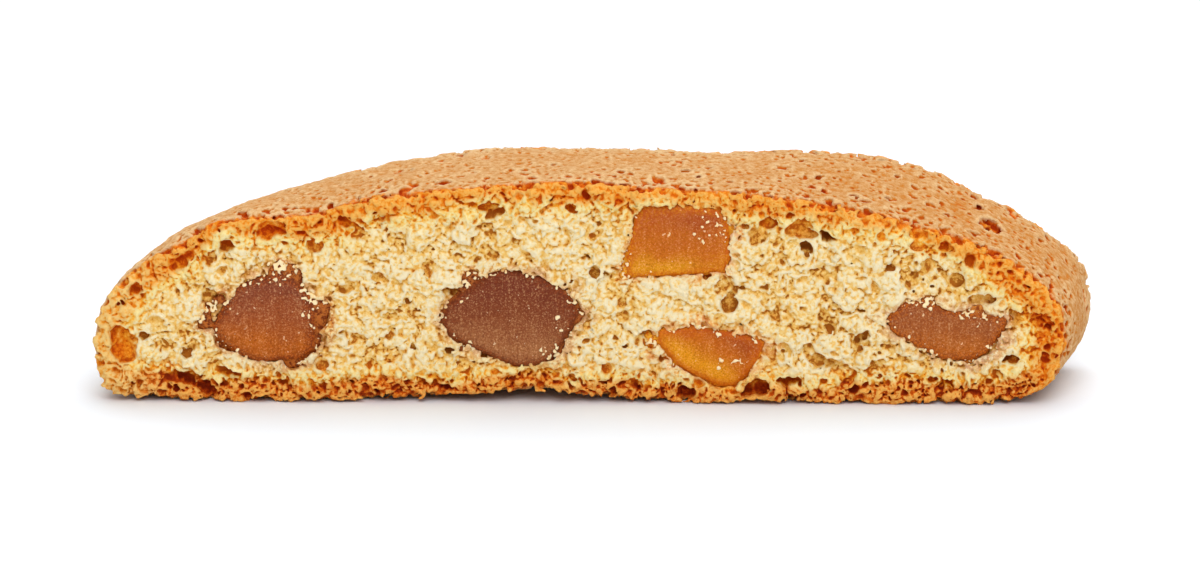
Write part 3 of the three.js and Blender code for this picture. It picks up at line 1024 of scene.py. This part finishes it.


# Each ramp goes from the tops of the lumps to the bottoms of the pores. Its darker, warmer end is painted
# shade in the hollows, warmed to stand in for light that scatters through the crumb.
biscuitLook = {
    "crumb": [(0.0, 255, 238, 196), (0.3, 254, 221, 150), (0.5, 248, 202, 114),
              (0.7, 240, 187, 92), (0.85, 226, 162, 66), (1.0, 186, 112, 36)],
    "golden": [(0.0, 255, 232, 160), (0.3, 254, 208, 106), (0.55, 250, 172, 46),
               (0.8, 236, 134, 18), (1.0, 206, 94, 10)],
    "crustCut": [(0.0, 250, 184, 88), (0.3, 244, 146, 34), (0.55, 232, 116, 14),
                 (0.8, 214, 90, 10), (1.0, 182, 60, 6)],
    "baseCut": [(0.0, 252, 184, 90), (0.25, 232, 128, 34), (0.45, 210, 90, 12),
                (0.7, 172, 60, 10), (1.0, 134, 38, 8)],
    "skin": [(0.0, 242, 202, 148), (0.35, 222, 165, 104), (0.6, 212, 138, 60),
             (0.8, 218, 120, 30), (1.0, 200, 92, 14)],
    "bottom": [(0.0, 214, 144, 70), (0.6, 164, 88, 28), (1.0, 92, 40, 10)],
    "brownStainAndShade": [(0.0, 255, 234, 176), (0.3, 250, 200, 104), (0.42, 232, 150, 40),
                   (0.64, 200, 102, 14), (1.0, 136, 54, 6)],
    "amberStainAndShade": [(0.0, 255, 234, 170), (0.32, 254, 200, 84), (0.55, 240, 140, 14),
                   (1.0, 196, 80, 4)],
    "hollowShares": {"hollowFine": 0.45, "hollowWide": 0.25, "hollowTiny": 0.30},
    "grains": ((0.5, 0.25), (0.26, 0.40)),    # size, and how much each changes the colour
    "patches": 1.1,        # how strong the wide patches of lighter and darker crumb are
    "goldenPatches": 0.5,
    "leftEndGolden": 0.45,
    "stained": 0.95,       # how strong the stain is close to the fruit
    "rightEndBrown": 0.12,
}


def biscuitMaterial():
    look = biscuitLook
    n = Nodes("baked biscuit", 0.8, 0.08)
    depth = n.attribute("crustDepth")
    cut = n.attribute("cutDepth")
    base = n.attribute("baseShare")
    # how sunk a spot is: 0.5 on a plain surface, more in a pore, less on a lump. The ramps turn it into
    # painted shade, darker the more sunk a spot is.
    hollow = n.add(*(n.times(n.attribute(name), share) for name, share in look["hollowShares"].items()))
    # fine grain specks, darker in the creases between grains: colour grain with painted crease shade
    speck = n.add(*(n.about(n.grains(size), 0.42, share) for size, share in look["grains"]))
    # spots further behind the cut face count as more sunk, so lower ground gets painted shade
    sunk = n.add(n.span(hollow, 0.32, 0.78), n.span(cut, -0.35, 0.5, (-0.12, 0.14)), speck,
                 n.about(n.noise(0.13, 1, 0.5, 2.0), 0.5, 0.5))
    # wide, soft patches of lighter and darker crumb
    wide = n.about(n.noise(3.0, 3, 0.5, 4.0), 0.5, 1.0)
    crumbSunk = n.add(sunk, n.times(wide, look["patches"]))
    golden = n.span(n.noise(2.4, 3, 0.65, 14.0), 0.58, 0.72, (0.0, look["goldenPatches"]))
    crumb = n.mix(golden, n.ramp(crumbSunk, look["crumb"]), n.ramp(crumbSunk, look["golden"]))
    # the cut crust and base, more golden at the left end
    rimSunk = n.add(sunk, n.span(depth, 0.1, 1.1, (0.10, 0.0)))
    band = n.mix(base, n.ramp(rimSunk, look["crustCut"]), n.ramp(rimSunk, look["baseCut"]))
    golden = n.span(n.attribute("along"), 0.03, 0.08, (look["leftEndGolden"], 0.0))
    band = n.mix(golden, band, n.ramp(rimSunk, look["golden"]))
    baked = n.attribute("baked")
    colour = n.mix(n.span(baked, 0.1, 2.4, (1.0, 0.0)), crumb, n.ramp(sunk, look["golden"]))
    colour = n.mix(n.span(baked, -0.6, 0.5, (1.0, 0.0)), colour, band)
    # crumb stained by the fruit, most where the hem is wide
    hem = n.attribute("hemWidth")
    away = n.add(n.attribute("fruitGap"), n.times(hem, -0.6), n.about(n.noise(1.6, 3, 0.6, 5.0), 0.5, 4.0))
    stained = n.times(n.span(away, 0.4, 1.6, (look["stained"], 0.0)),
                      n.span(n.noise(0.42, 2, 0.6, 15.0), 0.53, 0.60, (1.0, 0.25)))
    stained = n.times(stained, n.span(hem, 0.4, 1.7, (0.6, 1.0)))
    # how far into the stain ramps: nearness to the fruit is real stain, and how sunk a spot is adds painted
    # shade
    close = n.add(n.times(sunk, 0.8), n.span(away, -0.2, 1.4, (0.62, 0.22)))
    stain = n.mix(n.attribute("amber"), n.ramp(close, look["brownStainAndShade"]), n.ramp(close, look["amberStainAndShade"]))
    colour = n.mix(stained, colour, stain)
    # the baked skin, away from the cut faces; browner at the right end
    fromFront = n.add(n.attribute("fromFront"), n.about(n.noise(0.9, 3, 0.7, 10.0), 0.6, 3.0))
    skin = n.times(n.span(depth, 0.12, 0.45, (1.0, 0.0)), n.span(cut, -0.05, 0.3))
    skin = n.times(skin, n.span(fromFront, 0.0, 0.7))
    mottled = n.add(n.about(n.noise(0.17, 2, 0.7, 6.0), 0.5, 0.9), n.times(wide, 0.35))
    # the skin is darker in its pits and hollows: painted shade; its mottle is its own colour
    skinSunk = n.add(n.span(n.attribute("hollowFine"), 0.38, 0.70), n.add(mottled, n.times(speck, 0.6)),
                     n.span(n.attribute("along"), 0.60, 0.85, (0.0, look["rightEndBrown"])))
    skinTone = n.mix(base, n.ramp(skinSunk, look["skin"]), n.ramp(skinSunk, look["bottom"]))
    return n.finish(n.mix(skin, colour, skinTone), n.noise(0.15, 2, 0.75, 3.0), 0.20)


# colours of the loose grains, from their tops to the crevices between them; the darker end is painted shade
grainLook = [(0.0, 252, 230, 184), (0.35, 250, 214, 146), (0.65, 230, 164, 84),
             (1.0, 170, 90, 32)]


def grainMaterial():
    n = Nodes("sugary grains", 0.7, 0.1)
    # darker where the grains' surface is hollow: painted shade
    sunk = n.span(n.attribute("hollowTiny"), 0.35, 0.95)
    return n.finish(n.ramp(n.add(sunk, n.about(n.noise(0.5, 2, 0.6, 17.0), 0.5, 1.2)), grainLook))


# The colours of each piece of fruit from its top to its bottom, of its rim and of its sticky hem's lights
# and darks. lean is how much of the change runs across it instead.
fruitLook = {
    "fruit_1": {"top": (136, 68, 44), "middle": (160, 80, 38), "bottom": (192, 98, 18), "lean": 0.1,
                "rim": (168, 80, 22), "hem": ((186, 104, 40), (112, 44, 10))},
    "fruit_2": {"top": (118, 51, 31), "middle": (134, 68, 37), "bottom": (172, 110, 66), "lean": 0.0,
                "rim": (140, 63, 22), "hem": ((176, 98, 42), (104, 42, 12))},
    "fruit_3": {"top": (168, 72, 26), "middle": (198, 104, 12), "bottom": (230, 162, 16), "lean": 0.1,
                "rim": (214, 128, 16), "hem": ((240, 168, 50), (196, 92, 8))},
    "fruit_4": {"top": (160, 66, 18), "middle": (196, 102, 12), "bottom": (230, 154, 14), "lean": 1.0,
                "rim": (206, 108, 12), "hem": ((240, 168, 44), (190, 86, 8))},
    "fruit_5": {"top": (154, 82, 42), "middle": (162, 86, 38), "bottom": (184, 98, 26), "lean": 0.0,
                "rim": (196, 100, 18), "hem": ((214, 136, 56), (140, 62, 14))},
}
flesh = {
    "light": (0.42, 246, 190, 130),    # how strong its fine lights are, and their colour
    "dark": (0.5, 90, 30, 8),
    "specks": (0.7, 255, 224, 176),
    "rim": 0.85,
    "translucency": 0.3,
    "glowDepth": 1.2,
}


def fruitMaterial(name):
    look = fruitLook[name]
    n = Nodes(name.replace("_", " ") + " candied", 0.42, 0.1)
    place = n.add(n.attribute("upFruit"), n.about(n.attribute("acrossFruit"), 0.5, look["lean"]),
                  n.about(n.noise(2.4, 3, 0.55, 7.0), 0.5, 0.5))
    colour = n.ramp(place, [(0.18, *look["bottom"]), (0.5, *look["middle"]), (0.82, *look["top"])])
    # fine lights and darks in the flesh, and a few bright specks
    mottled = n.add(n.about(n.noise(0.16, 3, 0.75, 8.0), 0.5, 1.0),
                    n.about(n.noise(0.35, 2, 0.6, 13.0, 14.0), 0.5, 0.2))
    strength, *light = flesh["light"]
    colour = n.mix(n.span(mottled, 0.0, 0.18, (0.0, strength)), colour, light)
    strength, *dark = flesh["dark"]
    colour = n.mix(n.span(mottled, -0.18, 0.0, (strength, 0.0)), colour, dark)
    strength, *speck = flesh["specks"]
    colour = n.mix(n.span(n.noise(0.35, 1, 0.5, 12.0), 0.72, 0.76, (0.0, strength)), colour, speck)
    # the rim of its cut, and the hem outside it
    light, dark = look["hem"]
    edge = n.add(n.attribute("rimDepth"), n.times(mottled, 0.8))
    rim = n.mix(n.span(n.grains(0.22), 0.30, 0.60), look["rim"], dark)
    colour = n.mix(n.span(edge, 0.0, 0.8, (flesh["rim"], 0.0)), colour, rim)
    hem = n.mix(n.span(n.noise(0.3, 3, 0.7, 16.0), 0.42, 0.60), light, dark)
    colour = n.mix(n.span(n.add(edge, 0.1), -0.25, 0.1, (1.0, 0.0)), colour, hem)
    n.set("Subsurface Weight", flesh["translucency"])
    n.set("Subsurface Radius", (1.0, 0.6, 0.3))
    n.set("Subsurface Scale", flesh["glowDepth"] * mm)
    return n.finish(colour, n.noise(0.25, 3, 0.7, 9.0), 0.09)


def dress(name, material):
    materials = bpy.data.objects[name].data.materials
    materials.clear()
    materials.append(material)


for name in fruitLook:
    dress(name, fruitMaterial(name))
biscuit = biscuitMaterial()
for name in biscuitNames:
    dress(name, biscuit)
dress("grains", grainMaterial())
report("looks")

# The stage: a white floor, soft light and the camera. Angles are in degrees, and lengths in millimetres.
stage = {
    "floorSize": 3000,
    "floorColour": (0.88, 0.937, 1.0, 1),
    "floorRoughness": 0.8,
    "sky": 0.4,
    "cameraDistance": 600,
    "cameraElevation": 12.7,
    "cameraAzimuth": 1.0,
    "lens": 193,
    "aimShift": (0.33, -5.5, 0.2),    # from the middle of the slice
}
# each light: azimuth from the front, elevation, spread, power, colour
suns = {
    "key": (8, 42, 45, 1.62, (1, 1, 1)),
    "top": (150, 70, 60, 1.35, (1, 1, 1)),
    "fill": (190, 28, 70, 0.6, (1, 0.94, 0.86)),
}


def towards(azimuth, elevation):
    a, e = math.radians(azimuth), math.radians(elevation)
    return Vector((math.sin(a) * math.cos(e), -math.cos(a) * math.cos(e), math.sin(e)))


def put(name, data, place, back):
    # an object that looks along -back
    thing = bpy.data.objects.new(name, data)
    bpy.context.scene.collection.objects.link(thing)
    thing.location = place
    thing.rotation_euler = (-back).to_track_quat("-Z", "Y").to_euler()
    return thing


def makeCamera():
    data = bpy.data.cameras.new("camera")
    data.lens = stage["lens"]
    data.sensor_width = 36
    data.clip_start = 0.01
    data.clip_end = 20
    aim = (cadLow + cadHigh) / 2 + Vector(stage["aimShift"]) * mm
    back = towards(stage["cameraAzimuth"], stage["cameraElevation"])
    bpy.context.scene.camera = put("camera", data, aim + back * stage["cameraDistance"] * mm, back)


def makeFloor():
    half = stage["floorSize"] / 2 * mm
    mesh = bpy.data.meshes.new("floor")
    corners = [(-half, -half, 0), (half, -half, 0), (half, half, 0), (-half, half, 0)]
    mesh.from_pydata(corners, [], [(0, 1, 2, 3)])
    floor = bpy.data.objects.new("floor", mesh)
    bpy.context.scene.collection.objects.link(floor)
    material = bpy.data.materials.new("floor white")
    material.use_nodes = True
    shader = material.node_tree.nodes["Principled BSDF"]
    shader.inputs["Base Color"].default_value = stage["floorColour"]
    shader.inputs["Roughness"].default_value = stage["floorRoughness"]
    mesh.materials.append(material)
    floor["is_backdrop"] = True


def makeLight():
    for name, (azimuth, elevation, spread, power, colour) in suns.items():
        data = bpy.data.lights.new(name, "SUN")
        data.angle = math.radians(spread)
        data.energy = power
        data.color = colour
        back = towards(azimuth, elevation)
        put(name, data, back * 500 * mm, back)
    world = bpy.data.worlds.new("world")
    bpy.context.scene.world = world
    world.use_nodes = True
    background = world.node_tree.nodes["Background"]
    background.inputs["Color"].default_value = (1, 1, 1, 1)
    background.inputs["Strength"].default_value = stage["sky"]


makeCamera()
makeFloor()
makeLight()
bpy.context.scene.view_settings.view_transform = "Standard"
report("stage")

low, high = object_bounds()
